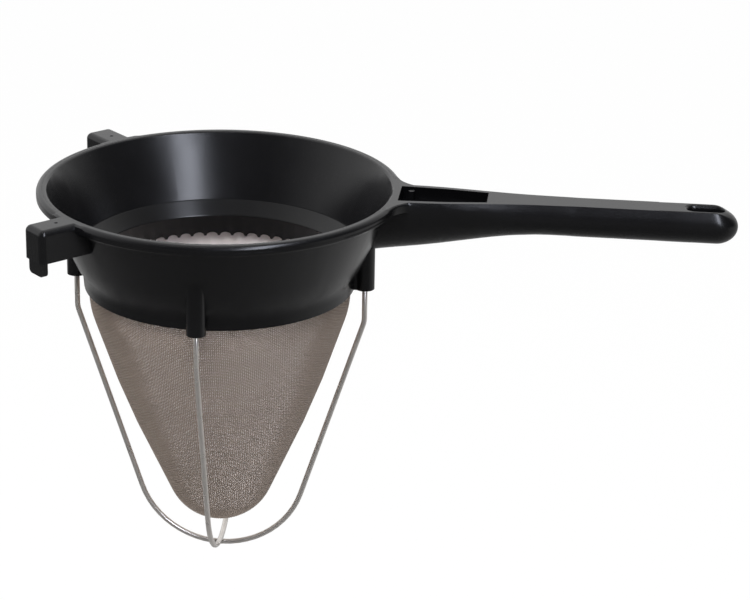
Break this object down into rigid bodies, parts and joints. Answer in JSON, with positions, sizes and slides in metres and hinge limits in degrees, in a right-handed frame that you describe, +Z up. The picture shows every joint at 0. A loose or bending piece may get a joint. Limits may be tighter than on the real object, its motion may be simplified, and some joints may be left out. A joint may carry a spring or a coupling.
{
  "type": "conical strainer",
  "caption": "Conical fine-mesh strainer with a moulded bowl, handle and pot hooks, a lift-out sieve and a wire guard.",
  "frame": {"origin": "centre of the mouth, in the plane of the rim's top", "axes": "+X along the handle, +Z up out of the mouth"},
  "size_m": [0.3865, 0.202, 0.221],
  "materials": {
    "body_plastic": "black moulded polyamide, satin",
    "ring_plastic": "black moulded polyamide, satin",
    "wire_cloth": "fine woven stainless wire",
    "guard_steel": "drawn stainless wire"
  },
  "bodies": {
    "body": {"strainer_body": "body_plastic", "guard_wire_outer": "guard_steel", "guard_wire_inner": "guard_steel"},
    "sieve": {"sieve_ring": "ring_plastic", "sieve_cone": "wire_cloth"}
  },
  "joints": [
    {"name": "sieve_lift", "type": "slide", "parent": "body", "child": "sieve", "axis": [0, 0, 1], "range_m": [0, 0.21]}
  ]
}
